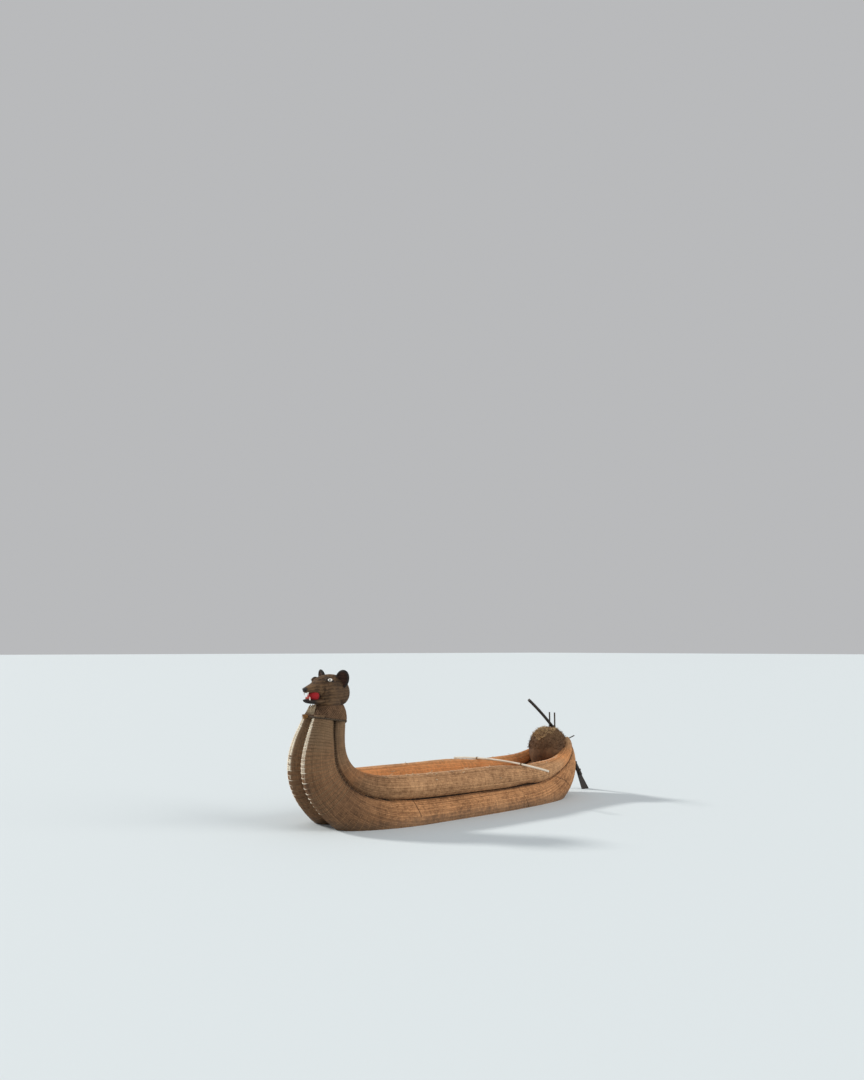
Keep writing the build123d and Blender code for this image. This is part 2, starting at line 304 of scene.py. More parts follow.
# %% Tables, sections and rays
# x, y, z of the middle, half height across the run, half width; millimetres.
hull_rows = [
    (2192, 133, 1770, 150, 124), (2215, 138, 1700, 160, 130), (2265, 150, 1540, 182, 144),
    (2325, 190, 1290, 225, 184), (2350, 207, 1040, 272, 201), (2300, 222, 790, 312, 216),
    (2130, 258, 545, 345, 252), (1870, 305, 315, 372, 298), (1480, 363, 135, 392, 354),
    (1000, 408, 50, 400, 398), (400, 412, 30, 400, 400), (-400, 405, 30, 400, 393),
    (-1200, 383, 30, 400, 371), (-1850, 350, 60, 382, 338), (-2340, 312, 160, 347, 298),
    (-2700, 272, 330, 300, 254), (-2905, 236, 545, 248, 205), (-2985, 205, 760, 190, 158),
    (-2990, 185, 895, 140, 122)]
# x, y, z of the middle, radius.
roll_rows = [(x, y, z, r, r) for x, y, z, r in (
    (1960, 136, 1770, 103), (1968, 140, 1700, 106), (1985, 150, 1540, 112), (2020, 180, 1300, 122),
    (2030, 228, 1080, 136), (1970, 310, 860, 150), (1820, 400, 702, 164), (1560, 482, 606, 175),
    (1150, 560, 562, 183), (500, 602, 550, 186), (-300, 605, 546, 186), (-1100, 580, 534, 181),
    (-1800, 532, 526, 168), (-2300, 474, 574, 146), (-2660, 405, 680, 120), (-2890, 325, 815, 99),
    (-2975, 262, 925, 88), (-2970, 205, 1014, 80))]
heart_rows = [(x, 0, z, r, r) for x, z, r in (
    (1750, 560, 60), (1350, 420, 85), (850, 332, 105), (0, 326, 105), (-1100, 320, 105),
    (-1700, 345, 90), (-2150, 420, 70))]


def smooth_row(rows, t):
    """Row of a table at a fractional place, on a smooth curve through the rows."""
    i = held(int(t), 0, len(rows) - 2)
    f = t - i
    picked = (rows[held(i + k, 0, len(rows) - 1)] for k in (-1, 0, 1, 2))
    return [0.5 * (2 * q + (r - p) * f + (2 * p - 5 * q + 4 * r - s) * f * f
                   + (3 * q - p - 3 * r + s) * f ** 3) for p, q, r, s in zip(*picked)]


def section(rows, t):
    """Middle, direction across, direction up, half width and half height of a cross-section."""
    x, y, z, tall, wide = smooth_row(rows, t)
    ahead, behind = smooth_row(rows, min(t + 0.05, len(rows) - 1)), smooth_row(rows, max(t - 0.05, 0))
    run = (Vector(ahead[:3]) - Vector(behind[:3])).normalized()
    across = (Vector((0, 1, 0)) - run * run.y).normalized()
    return place(x, y, z), across, run.cross(across), wide / 1000, tall / 1000


def skin_of(*names):
    """Search tree over solids' surfaces, to cast rays at."""
    points, faces = [], []
    for name in names:
        mesh = solid[name].data
        first = len(points)
        points += [v.co.copy() for v in mesh.vertices]
        faces += [[first + i for i in p.vertices] for p in mesh.polygons]
    return BVHTree.FromPolygons(points, faces)


def on_skin(skin, rows, t, angle, rise=0.0):
    """Point over a bundle's skin at an angle round its section, or None where a neighbour lies."""
    middle, across, up, wide, tall = section(rows, t)
    out = across * (cos(angle) * wide) + up * (sin(angle) * tall)
    way, outside, own_skin = out.normalized(), 1.35, 0.93
    hit = skin.ray_cast(middle + out * outside, -way)[0]
    if hit is None or (hit - middle).length < own_skin * out.length:
        return None
    return hit + way * rise


def stretches(points):
    """Unbroken runs of three or more points, split where one is missing."""
    found, current = [], []
    for point in points + [None]:
        if point is None:
            if len(current) > 2:
                found.append(current)
            current = []
        else:
            current.append(point)
    return found


hull_skin, roll_skin = skin_of("hull_bundle_port"), skin_of("gunwale_roll_port")
heart_skin = skin_of("heart_bundle")
print("amidships section:", [round(v, 3) for v in section(hull_rows, 10)[0]])

# %% [markdown]
# ## Dry reed
# Bound reed is golden where it is dry, grey-brown high up where it has weathered, and dark where it is
# wet. Every stem has its own tone and fine streaks that run along it. The finish reads the stem's tone
# and the distance along it from the mesh, so that streaks bend with the stem, and takes the slow changes
# from the place on the boat: the tall prow is greyer, the low prow carries painted shade, and the
# waterline is darker. A tone above 1 is a painted sunlit highlight, and one below 0 a painted shadow in
# the groove between bundles.

# %% The reed finish
def reed(name, slot, light, dark, weathered, grey_from=0.6, grey_to=1.45, inner=None):
    """Bound reed: light and dark stems, weathered with height above the water, in metres; on the stern
    bolster this change with height is painted sunlight on the top. The side that faces the deck, low
    down, may have its own brighter colour, inner, a painted light standing in for sunlight on it."""
    made = Finish(name, slot, rough=0.72)
    tone, run, around = made.attribute("tone"), made.attribute("run"), made.attribute("around", 1)
    height = made.spot.axis("Z") - origin.z
    along = made.wire.vector(run * 3.0, tone * 97.0, around.axis("X") * 1.5)
    streak = along.noise(6.0, 4.0, 0.65)
    patches = made.spot.noise(2.2, 3.0, 0.6)
    mottle = made.spot.noise(16.0, 4.0, 0.7)
    # The stem itself, its streaks, and patches and mottle of the whole bundle each shift the shade.
    shade = ((tone.clamp() - 0.5) * 0.42 + (streak - 0.5) * 1.5 + (patches - 0.5) * 1.1
             + (mottle - 0.5) * 1.3 + 0.5).clamp()
    dry = shade.mix(colour(*dark), colour(*light))
    # Painted light: inboard faces low down take the brighter colour inner, as if sunlit.
    if inner:
        inboard = 1.0 - made.spot.axis("Y").apply("ABSOLUTE").step(0.49, 0.6)
        bright = (shade * 0.7 + 0.2).mix(colour(*dark), colour(*inner))
        dry = (inboard * (1.0 - height.step(0.75, 1.0))).mix(dry, bright)
    dash = along.stretch(2.6, 1.0, 1.0).noise(9.0, 2.0, 0.5).step(0.58, 0.68) * 0.7
    dry = dash.mix(dry, colour(*(v * 0.45 for v in dark)))
    even_shade = shade * 0.8 + 0.1
    # Colour change with height: weathering on the bundles, painted sunlight on the stern bolster's
    # straw.
    aged_and_sunlit = (height.step(grey_from, grey_to) * 0.9 + (patches - 0.5) * 0.8).clamp()
    grey_and_sunlit = even_shade.mix(colour(*(v * 0.55 for v in weathered)), colour(*weathered))
    # The prow is painted darker, a painted shade strongest low down, and water darkens the foot.
    prow_shade = (made.spot.axis("X").step(origin.x + 1.0, origin.x + 2.1)
              * (0.8 - height.step(0.5, 1.5) * 0.46))
    prow_shade_colour = even_shade.mix(colour(0.035, 0.018, 0.009), colour(0.17, 0.09, 0.045))
    damp = (1.0 - (height + (mottle - 0.5) * 0.16).step(0.02, 0.2)) * 0.62
    tinted = prow_shade.mix(aged_and_sunlit.mix(dry, grey_and_sunlit), prow_shade_colour)
    tinted = damp.mix(tinted, colour(0.1, 0.062, 0.034))
    # A tone above 1 is a painted sunlit highlight, mixed towards near-white.
    pale = (tone - 1.0).clamp() * (mottle * 0.8 + 0.5).clamp()
    tinted = pale.mix(tinted, colour(0.9, 0.82, 0.66))
    # A tone below 0 is a painted shadow in the groove between bundles, mixed towards near-black.
    made.feed("Base Color", (0.0 - tone).clamp().mix(tinted, colour(0.03, 0.016, 0.009)))
    made.feed("Roughness", 0.8 - damp * 0.4)
    made.bump(streak + mottle * 0.4, 0.002, 0.7)
    return made


hull_reed = reed("hull_reed", "reed_hull", (0.74, 0.38, 0.17), (0.18, 0.08, 0.032), (0.27, 0.18, 0.1))
roll_reed = reed("roll_reed", "reed_roll", (0.74, 0.42, 0.21), (0.2, 0.098, 0.042), (0.27, 0.18, 0.105),
                 inner=(0.98, 0.42, 0.15))
heart_reed = reed("heart_reed", "reed_heart", (0.45, 0.21, 0.08), (0.15, 0.07, 0.03), (0.2, 0.15, 0.1))

# %% [markdown]
# ## Reeds on the bundles
# A bundle amidships is 0.8 m thick and shows about a hundred stems round its skin. Each stem lies in
# the skin, a little proud, and thins towards the ends as the bundle does. They are tubes on guides:
# the guide starts at the neck and follows one angle round the sections, with a slow random drift.

# %% Lay the reeds
def painted_sun_rim(out, row_share, sun_side):
    """How strongly a place gets a painted sunlit highlight, from the way out of the bundle there and the
    share of its table: the front edge up the prow, but not its far side, and along the crown."""
    sun_x, sun_y, out_y = 0.788, -0.616, out.y * sun_side
    forward, seaward = out.x * sun_x + out_y * sun_y, out_y * sun_x - out.x * sun_y
    hidden = held((-0.1 - seaward) / 0.25)
    prow = held((forward - 0.56) / 0.14 - hidden) * held((0.47 - row_share) / 0.08)
    crown = held((out.z - 0.9) / 0.06) * held((row_share - 0.3) / 0.1) * 0.6
    return max(prow, crown)


def reed_guides(skin, rows, count, widest, samples, seed, start=0.25, beside=None, sun_side=1):
    """Guides of the stems round a bundle; widest is a stem's radius where the bundle is thickest. Stems
    close to the bundle beside it get a painted shadow, the shade in the groove between them, and stems
    that face the sun a painted sunlit highlight."""
    chance = random.Random(seed)
    stop = len(rows) - 1
    biggest = max(row[3] + row[4] for row in rows)
    groove, sunk = 0.06, 0.62
    guides = []
    for stem in range(count):
        angle = (stem + chance.uniform(-0.25, 0.25)) * 2 * pi / count
        tone, drift = chance.random(), chance.uniform(0, 9)
        points = []
        for i in range(samples):
            t, share = start + (stop - start) * i / (samples - 1), i / samples
            row = smooth_row(rows, t)
            size = widest * (row[3] + row[4]) / biggest
            sway = 0.35 * sin(t * 0.7 + drift) * 2 * pi / count
            point = on_skin(skin, rows, t, angle + sway, -sunk * size)
            shade = tone
            if point and beside:
                # Painted sunlit highlight: the stem's tone is raised above 1 where it faces the sun.
                pale = painted_sun_rim((point - section(rows, t)[0]).normalized(), share, sun_side)
                shade += pale * (1.5 - 0.9 * held((share - 0.16) / 0.1) * (point.z < 1.2))
                # Painted shadow: the tone drops below 0 close to the bundle beside, in the groove.
                near = beside.find_nearest(point, groove)[3]
                shade -= 0 if near is None else 3.2 * (1 - near / groove) ** 1.5
            points.append(point and (point, size, shade))
        for stretch in stretches(points):
            line, sizes, tones = map(list, zip(*stretch))
            guides.append((line, sizes, tones, False))
    return guides


# Name, skin, table, stems, thickest radius, points of a guide, finish and the bundle beside.
stems = (("hull", hull_skin, hull_rows, 104, 0.0135, 52, hull_reed, roll_skin),
         ("roll", roll_skin, roll_rows, 60, 0.0105, 48, roll_reed, hull_skin))
for label, skin, rows, count, widest, samples, finish, beside in stems:
    for side, seed in ((1, 11), (-1, 12)):
        guides = reed_guides(skin, rows, count, widest, samples, seed, beside=beside, sun_side=side)
        tubes_on_side(label + "_reeds", guides, finish, side)
tubes_on("heart_reeds", reed_guides(heart_skin, heart_rows, 26, 0.011, 30, 13, start=0.0), heart_reed)


def paint(finish, *names):
    """Give solids that stay in view a finish."""
    for name in names:
        solid[name].data.materials.clear()
        solid[name].data.materials.append(finish.material)


paint(hull_reed, "hull_bundle_port", "hull_bundle_starboard")
paint(roll_reed, "gunwale_roll_port", "gunwale_roll_starboard")
paint(heart_reed, "heart_bundle")

# %% [markdown]
# ## Twisted grass rope
# The bundles are drawn tight by rope. Its strands wind round it, and at this size a bump that winds
# with them is enough: the distance along the rope and the direction round it, both kept on the mesh by
# the tube tree, give the phase of the twist.

# %% The rope finish
def rope(name, slot, light, dark, pitch, depth):
    """Twisted rope; pitch is the length of one strand's turn, depth the groove's, in metres."""
    made = Finish(name, slot, rough=0.85)
    run, around, tone = made.attribute("run"), made.attribute("around", 1), made.attribute("tone")
    turn = run * (2 * pi / pitch)
    strand = turn.apply("SINE") * around.axis("X") + turn.apply("COSINE") * around.axis("Y")
    fuzz = made.spot.noise(260.0, 2.0, 0.6)
    blotch = made.spot.noise(9.0, 3.0, 0.6)
    shade = (strand * 0.28 + (tone - 0.5) * 0.3 + (fuzz - 0.5) * 0.7
             + (blotch - 0.5) * 0.9 + 0.5).clamp()
    twisted = shade.mix(colour(*dark), colour(*light))
    # A tone above 1 is a painted sunlit highlight, mixed towards near-white.
    made.feed("Base Color", (tone - 1.0).clamp().mix(twisted, colour(0.92, 0.86, 0.72)))
    made.bump(strand + fuzz * 0.5, depth)
    return made


tie_rope = rope("tie_rope", "rope_straw", (0.46, 0.33, 0.2), (0.17, 0.11, 0.06), 0.03, 0.002)
dark_rope = rope("dark_rope", "rope_dark", (0.12, 0.085, 0.055), (0.03, 0.022, 0.015), 0.036, 0.003)

# %% [markdown]
# ## Windings
# Every bundle is wound with cord from end to end. Up the prow the turns are close and darker than the
# reed, and give it its fine ribs. Along the hull they lie a hand's width apart and have the reed's own
# colour. Turns that face the sun up the prow and along the crown get a painted sunlit highlight. Turns
# that would go under the hull are left off, because the boat lies on its reeds there.

# %% Wind the bundles
def ring_guides(skin, rows, t, size, tone, sun_side):
    """One turn of cord that lies on a bundle at a place of its table, in the stretches that show: above
    the floor and on the bundle's own side of the centreline."""
    middle, points, steps, lowest, inmost = section(rows, t)[0], [], 64, 0.009, -0.001
    for i in range(steps + 1):
        point = on_skin(skin, rows, t, 2 * pi * i / steps, size)
        points.append(point if point and point.z > lowest and point.y > inmost else None)
    guides = []
    for stretch in stretches(points):
        # Painted sunlit highlight: a turn's tone is raised above 1 where it faces the sun.
        tones = [tone + 1.6 * painted_sun_rim((p - middle).normalized(), t / len(rows), sun_side)
                 for p in stretch]
        guides.append((stretch, size, tones, False))
    return guides


def wind(skin, rows, first, last, near, far, size, sun_side):
    """Rings of thin cord from one place of a table to another, their spacing growing in metres."""
    chance = random.Random(8)
    guides, t = [], first
    while t < last:
        guides += ring_guides(skin, rows, t, size, chance.random(), sun_side)
        step = (section(rows, t + 0.1)[0] - section(rows, t)[0]).length / 0.1
        share = (t - first) / (last - first)
        t += (near + (far - near) * share) * chance.uniform(0.9, 1.1) / step
    return guides


prow_cord = rope("prow_cord", "rope_straw", (0.29, 0.192, 0.105), (0.12, 0.072, 0.036), 0.02, 0.001)
reed_cord = rope("reed_cord", "rope_straw", (0.6, 0.36, 0.175), (0.3, 0.165, 0.08), 0.02, 0.001)
# Name, skin, table, first and last row, spacing at each in metres, cord's radius and finish.
windings = (("hull_prow", hull_skin, hull_rows, 1.75, 6.4, 0.036, 0.06, 0.0046, prow_cord),
            ("roll_prow", roll_skin, roll_rows, 1.9, 4.6, 0.028, 0.04, 0.0032, prow_cord),
            ("hull_side", hull_skin, hull_rows, 6.5, 17.8, 0.09, 0.12, 0.0017, reed_cord),
            ("roll_side", roll_skin, roll_rows, 4.7, 16.6, 0.07, 0.1, 0.0017, reed_cord))
for label, skin, rows, first, last, near, far, size, finish in windings:
    for side in (1, -1):
        guides = wind(skin, rows, first, last, near, far, size, side)
        tubes_on_side(label + "_cords", guides, finish, side)

# %% [markdown]
# ## Seams and stray ends
# Here and there a layer of reed ends, and its edge shows as a dark slanting line. A few cut ends of
# stem also stand out from the rolls, pale where they broke. Both are placed by row of the bundle's
# table and bearing round its section, so they stay on the skin if the hull is reshaped.

# %% Add seams and stray ends
def seam(skin, rows, spots, size, rise, tone):
    """Guides over a bundle's skin through places given by row and bearing in degrees."""
    points = []
    for (t, bearing), (next_t, next_bearing) in zip(spots, spots[1:]):
        for k in range(6):
            angle = radians(bearing + (next_bearing - bearing) * k / 5)
            points.append(on_skin(skin, rows, t + (next_t - t) * k / 5, angle, rise))
    return [(line, size, tone, False) for line in stretches(points)]


chance = random.Random(29)
seams = []
for spots in ([(9.1, 302), (9.17, 326), (9.26, 347)],
              [(14.3, 318), (14.45, 334), (14.65, 345), (14.8, 368), (14.9, 385)],
              [(12.3, 335), (12.38, 352), (12.42, 366)]):
    seams += seam(hull_skin, hull_rows, spots, 0.0042, 0.0015, chance.random())
seam_dark = rope("seam_dark", "reed_hull", (0.06, 0.036, 0.02), (0.02, 0.013, 0.008), 0.03, 0.001)
for side in (1, -1):
    tubes_on_side("hull_seams", seams, seam_dark, side)


def stray_ends(skin, rows, spots, seed):
    """Short broken stems that stand out of a bundle at places given by row and bearing in degrees."""
    chance = random.Random(seed)
    guides = []
    for t, bearing in spots:
        root, ahead = (on_skin(skin, rows, t + k, radians(bearing), 0.001) for k in (0, 0.1))
        if root and ahead:
            away, along = (root - section(rows, t)[0]).normalized(), (ahead - root).normalized()
            reach, turn = chance.uniform(0.03, 0.06), chance.choice((-1, 1))
            line = [root + along * turn * reach * s + away * reach * 0.7 * s * (1.3 - s * 0.5)
                    for s in (-0.2, 0.2, 0.6, 1.0)]
            guides.append((line, chance.uniform(0.003, 0.0045), chance.random(), False))
    return guides


pale_straw = reed("pale_straw", "reed_roll", (0.76, 0.64, 0.46), (0.46, 0.36, 0.23), (0.7, 0.6, 0.46),
                  grey_from=3.0, grey_to=4.0)
# The ends that the photograph shows to port, by row and bearing; chance places the others.
picked = [(6.4, 312), (9.0, 297), (10.6, 354), (10.55, 261), (8.3, 285), (12.6, 300)]
for side, spots, count, lowest, seed in ((1, picked, 14, 230, 1), (-1, [], 20, 200, 2)):
    spots = spots + [(chance.uniform(5.5, 15.5), chance.uniform(lowest, 330)) for _ in range(count)]
    tubes_on_side("stray_ends", stray_ends(roll_skin, roll_rows, spots, seed), pale_straw, side)

# %% [markdown]
# ## The deck mat
# The mat is thin reeds laid side by side across the boat and tied by a few cords that pass over and
# under them. It repeats along one direction, so both the reeds and the tying cords are guides again;
# a cord's guide simply rises over every reed and dips between two.

# %% Lay the mat
mat_low, mat_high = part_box("deck_mat")
mat_start, mat_z, reed_r, mat_pitch = mat_low[0] + 0.016, mat_high[2], 0.0085, 0.0165
cord_apart, weave = 0.115, 0.0035
chance = random.Random(3)
mat_guides, tie_guides = [], []
count = int((mat_high[0] - mat_low[0] - 0.02) / mat_pitch)
for i in range(count):
    x = mat_start + i * mat_pitch
    reach = mat_high[1] - chance.uniform(0.0, 0.012)
    line = [Vector((x + chance.uniform(-0.0015, 0.0015), y * reach / 4, mat_z - weave))
            for y in range(-4, 5)]
    mat_guides.append((line, reed_r * chance.uniform(0.88, 1.0), chance.random(), False))
for k in range(-3, 4):
    line = [Vector((mat_start + i * mat_pitch / 2, k * cord_apart + 0.004 * (-1) ** (i // 2),
                    mat_z + weave * (i % 2 == 0))) for i in range(2 * count - 1)]
    tie_guides.append((line, 0.0026, chance.random(), False))
mat_reed = reed("mat_reed", "reed_mat", (0.52, 0.36, 0.2), (0.26, 0.155, 0.08), (0.25, 0.2, 0.15))
tubes_on("mat_reeds", mat_guides, mat_reed, sides=6)
tubes_on("mat_ties", tie_guides, tie_rope, sides=4)
paint(mat_reed, "deck_mat")

# %% [markdown]
# ## Cut reed ends
# At the stern the bundles are cut off square, and one looks onto hundreds of hollow stem ends. Points
# spread over the cut at a fixed least distance, and each gets a short tube whose sunk inside is painted
# dark, a painted shade in the hollow stem. The tube is made once and is only a few dozen faces, because
# it is repeated so often.

# %% Scatter tree and the ends
def mesh_of(name, form):
    """Mesh with this name from a form that was put together point by point."""
    mesh = bpy.data.meshes.new(name)
    form.to_mesh(mesh)
    form.free()
    return mesh


def ringed(name, rings, sides):
    """Small closed form over rings, each given by radius, height, shift along x and 1 if it is sunk
    inside. The points keep the last value as hollow."""
    form = bmesh.new()
    hollow = form.verts.layers.float.new("hollow")
    made = []
    for radius, height, shift, inside in rings:
        turns = [2 * pi * i / sides for i in range(sides)]
        made.append([form.verts.new((radius * cos(a) + shift, radius * sin(a), height)) for a in turns])
        for vert in made[-1]:
            vert[hollow] = inside
    for low, high in zip(made, made[1:]):
        for i in range(sides):
            form.faces.new((low[i], low[(i + 1) % sides], high[(i + 1) % sides], high[i]))
    form.faces.new(made[-1])
    form.faces.new(made[0][::-1])
    return link(name, mesh_of(name, form))


scatter_tree, given, result = new_tree(
    "scatter", ("Shape", "Object"), ("Distance", "Float"), ("Density", "Float"), ("Smallest", "Float"),
    ("Lean", "Float"), ("Seed", "Int"), ("Finish", "Material"))
wire = Wire(scatter_tree)
take = {output.name: Wire(scatter_tree, output) for output in given.outputs if output.name}
spread = wire.node("GeometryNodeDistributePointsOnFaces", {"distribute_method": "POISSON"},
                   {"Mesh": take["Geometry"], "Distance Min": take["Distance"],
                    "Density Max": take["Density"], "Seed": take["Seed"]})
facing = Wire(scatter_tree, spread.socket.node.outputs["Rotation"])
shape = wire.node("GeometryNodeObjectInfo", None, {"Object": take["Shape"]}, out="Geometry")
size = wire.node("FunctionNodeRandomValue", {"data_type": "FLOAT"},
                 {2: take["Smallest"], 3: 1.0, "Seed": take["Seed"]}, out=1)
spread = wire.node("GeometryNodeInstanceOnPoints", None,
                   {"Points": spread, "Instance": shape, "Rotation": facing,
                    "Scale": wire.vector(1.0, 1.0, size)})
lean, back, half_turn = take["Lean"], take["Lean"] * -1.0, 3.1
tilt = wire.node("FunctionNodeRandomValue", {"data_type": "FLOAT_VECTOR"},
                 {0: wire.vector(back, back, -half_turn), 1: wire.vector(lean, lean, half_turn),
                  "Seed": take["Seed"] + 5})
spread = wire.node("GeometryNodeRotateInstances", None, {"Instances": spread, "Rotation": tilt})
tones = wire.node("FunctionNodeRandomValue", {"data_type": "FLOAT"},
                  {2: 0.0, 3: 1.0, "Seed": take["Seed"] + 9}, out=1)
spread = wire.node("GeometryNodeStoreNamedAttribute", {"data_type": "FLOAT", "domain": "INSTANCE"},
                   {"Geometry": spread, "Name": "tone", "Value": tones})
spread = wire.node("GeometryNodeRealizeInstances", None, {"Geometry": spread})
spread = wire.node("GeometryNodeSetMaterial", None, {"Geometry": spread, "Material": take["Finish"]})
scatter_tree.links.new(spread.socket, result.inputs[0])

cut_reed = Finish("cut_reed", "reed_hull", rough=0.85)
tone, hollow = cut_reed.attribute("tone"), cut_reed.attribute("hollow")
grain = cut_reed.spot.noise(300.0, 2.0)
fleck = (tone * 0.7 + (grain - 0.5) * 0.9 + 0.15).clamp()
pale = fleck.mix(colour(0.22, 0.13, 0.065), colour(0.6, 0.44, 0.26))
# Painted shade: the sunk inside of each end is near-black, as the shade in the hollow stem.
cut_reed.feed("Base Color", hollow.mix(pale, colour(0.07, 0.045, 0.025)))
cut_reed.bump(grain, 0.001)


def cut_face(name, rows, t):
    """Flat ellipse over a bundle's cut end, facing away from the bundle, for stem ends to stand on."""
    middle, across, up, wide, tall = section(rows, t)
    out = (middle - section(rows, t - 0.2)[0]).normalized()
    middle, inset = middle + out * 0.0005, 0.9
    points = [middle] + [middle + across * (cos(a) * wide * inset) + up * (sin(a) * tall * inset)
                         for a in (2 * pi * i / 24 for i in range(24))]
    faces = [(0, 1 + i, 1 + (i + 1) % 24) for i in range(24)]
    normal = (points[1] - points[0]).cross(points[2] - points[0])
    if normal.dot(out) < 0:
        faces = [f[::-1] for f in faces]
    mesh = bpy.data.meshes.new(name)
    mesh.from_pydata(points, [], faces)
    return mesh


# Name, table, last row, radius of a stem's end and the least distance between two.
ends = (("hull_ends", hull_rows, 18.0, 0.0105, 0.021), ("roll_ends", roll_rows, 17.0, 0.008, 0.016))
rise = 0.016
for label, rows, t, radius, apart in ends:
    end_shape = ringed("stem_end", ((radius, 0, 0, 0), (radius, rise, 0, 0), (0.62 * radius, rise, 0, 0),
                                    (0.55 * radius, rise - 0.006, 0, 1)), 7)
    for side, seed in (("port", 3), ("starboard", 4)):
        mesh = cut_face(label, rows, t)
        if side == "starboard":
            mesh.transform(Matrix.Diagonal((1, -1, 1, 1)))
            mesh.flip_normals()
        piece = grow(f"{label}_{side}", mesh, scatter_tree, cut_reed, Shape=end_shape, Distance=apart,
                     Density=9000.0, Smallest=0.35, Lean=0.08, Seed=seed)
        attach(piece, "hull")
    bpy.data.objects.remove(end_shape)

# %% [markdown]
# ## The plaited collar
# A mat of flat straw strands is wrapped round the neck and holds the four bundles together. Two
# families of strands slant opposite ways and pass over and under each other. Each strand is a guide on
# the collar's skin whose height swings in and out, half a crossing apart from its neighbours.

# %% Plait the collar
collar_skin = skin_of("neck_collar")
collar_low, collar_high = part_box("neck_collar")
collar_mid = Vector(((collar_low[0] + collar_high[0]) / 2 + 0.01, 0.0, 0.0))
foot_lean, foot_mid, collar_top = radians(8.5), place(2138, 0, 1642), place(0, 0, 1818).z
foot_slope = sin(foot_lean) / cos(foot_lean)
neck_r, outside, foot_rim = 0.28, 0.6, 0.008


def on_collar(angle, share, rise):
    """Point over the collar at a bearing round the neck and a share of its height, or None. The
    collar's lower edge leans forward."""
    way = Vector((cos(angle), sin(angle), 0))
    foot = foot_mid.z + ((collar_mid + way * neck_r).x - foot_mid.x) * foot_slope
    height = foot + foot_rim + (collar_top - foot) * share
    start = collar_mid + way * outside + Vector((0, 0, height))
    hit = collar_skin.ray_cast(start, -way)[0]
    return hit + way * rise if hit else None


def plait(count, steps, slant, size, seed):
    """Guides of two families of strands that slant opposite ways and pass over and under each other."""
    chance = random.Random(seed)
    guides = []
    for family in (1, -1):
        for k in range(count):
            points, tone = [], chance.random()
            for i in range(steps + 1):
                share = i / steps
                angle = 2 * pi * (k / count) + family * slant * share
                crossing = count * angle / pi
                weave = 0.0022 * sin(pi * (crossing * 0.5 * family + share * count * slant / pi))
                points.append(on_collar(angle, share, 0.0012 + weave))
            guides += [(line, size, tone, False) for line in stretches(points)]
    return guides


collar_straw = reed("collar_straw", "reed_collar", (0.27, 0.155, 0.083), (0.06, 0.031, 0.015),
                    (0.17, 0.1, 0.055), grey_from=1.4, grey_to=2.4)
tubes_on("collar_plait", plait(46, 16, 0.62, 0.0082, 21), collar_straw)
paint(collar_straw, "neck_collar")

# %% [markdown]
# ## Neck rope, knot and tuft
# A thick dark rope of three strands is drawn round the neck under the collar. Here the strands are
# real: each one is a guide that winds round the rope's middle line. The knot is a few turns over one
# another, and the tuft is a bunch of loose straw tied in at the front.

# %% Lay the neck rope
rope_x = Vector((cos(foot_lean), 0, sin(foot_lean)))
rope_up = Vector((-sin(foot_lean), 0, cos(foot_lean)))
rope_mid = foot_mid - rope_up * 0.0134
ring_long, ring_wide, ring_corner = 0.2875, 0.2855, 0.1817


def ring_point(share):
    """Point of the rounded rectangle the rope follows, at a share of its way round, and the way out."""
    straight_x, straight_y, arc = ring_long - ring_corner, ring_wide - ring_corner, ring_corner * pi / 2
    sides = [2 * straight_y, arc, 2 * straight_x, arc] * 2
    starts = ((ring_long, -straight_y), (straight_x, ring_wide), (-ring_long, straight_y),
              (-straight_x, -ring_wide))
    corners = ((1, 1), (-1, 1), (-1, -1), (1, -1))
    left = (share % 1.0) * sum(sides)
    for k, length in enumerate(sides):
        if left <= length:
            angle = (k // 2) * pi / 2
            if k % 2:
                angle, (cx, cy) = angle + left / arc * pi / 2, corners[k // 2]
                x, y = cx * straight_x, cy * straight_y
                x, y = x + ring_corner * cos(angle), y + ring_corner * sin(angle)
            else:
                x, y = starts[k // 2]
                x, y = x - sin(angle) * left, y + cos(angle) * left
            out = Vector((cos(angle), sin(angle)))
            return (rope_mid + rope_x * x + Vector((0, y, 0)),
                    (rope_x * out.x + Vector((0, out.y, 0))).normalized())
        left -= length


strands, lay, strand_off, points = [], 0.075, 0.0062, 260
around_length = 4 * (ring_long + ring_wide) - (8 - 2 * pi) * ring_corner
for strand in range(3):
    line = []
    for i in range(points):
        middle, out = ring_point(i / points)
        phase = 2 * pi * (strand / 3 + i / points * round(around_length / lay))
        line.append(middle + out * (strand_off * cos(phase)) + rope_up * (strand_off * sin(phase)))
    strands.append((line, 0.0068, strand / 2, True))
tubes_on("neck_rope_strands", strands, dark_rope, sides=7, stands_for=["neck_rope"])

knot_mid, knot, turn_apart = middle_of("neck_knot"), [], 0.0165
for upright in (True, False):
    for k in range(3):
        shift = (k - 1) * turn_apart
        line = []
        for i in range(20):
            c, s = cos(2 * pi * i / 20), sin(2 * pi * i / 20)
            spot = (0.0165 * c, shift, 0.021 * s) if upright else (0.0125 * c, 0.0245 * s, shift * 0.8)
            line.append(knot_mid + Vector(spot))
        knot.append((line, 0.0082, k / 3, True))
tubes_on("neck_knot_turns", knot, dark_rope, sides=7, stands_for=["neck_knot"])

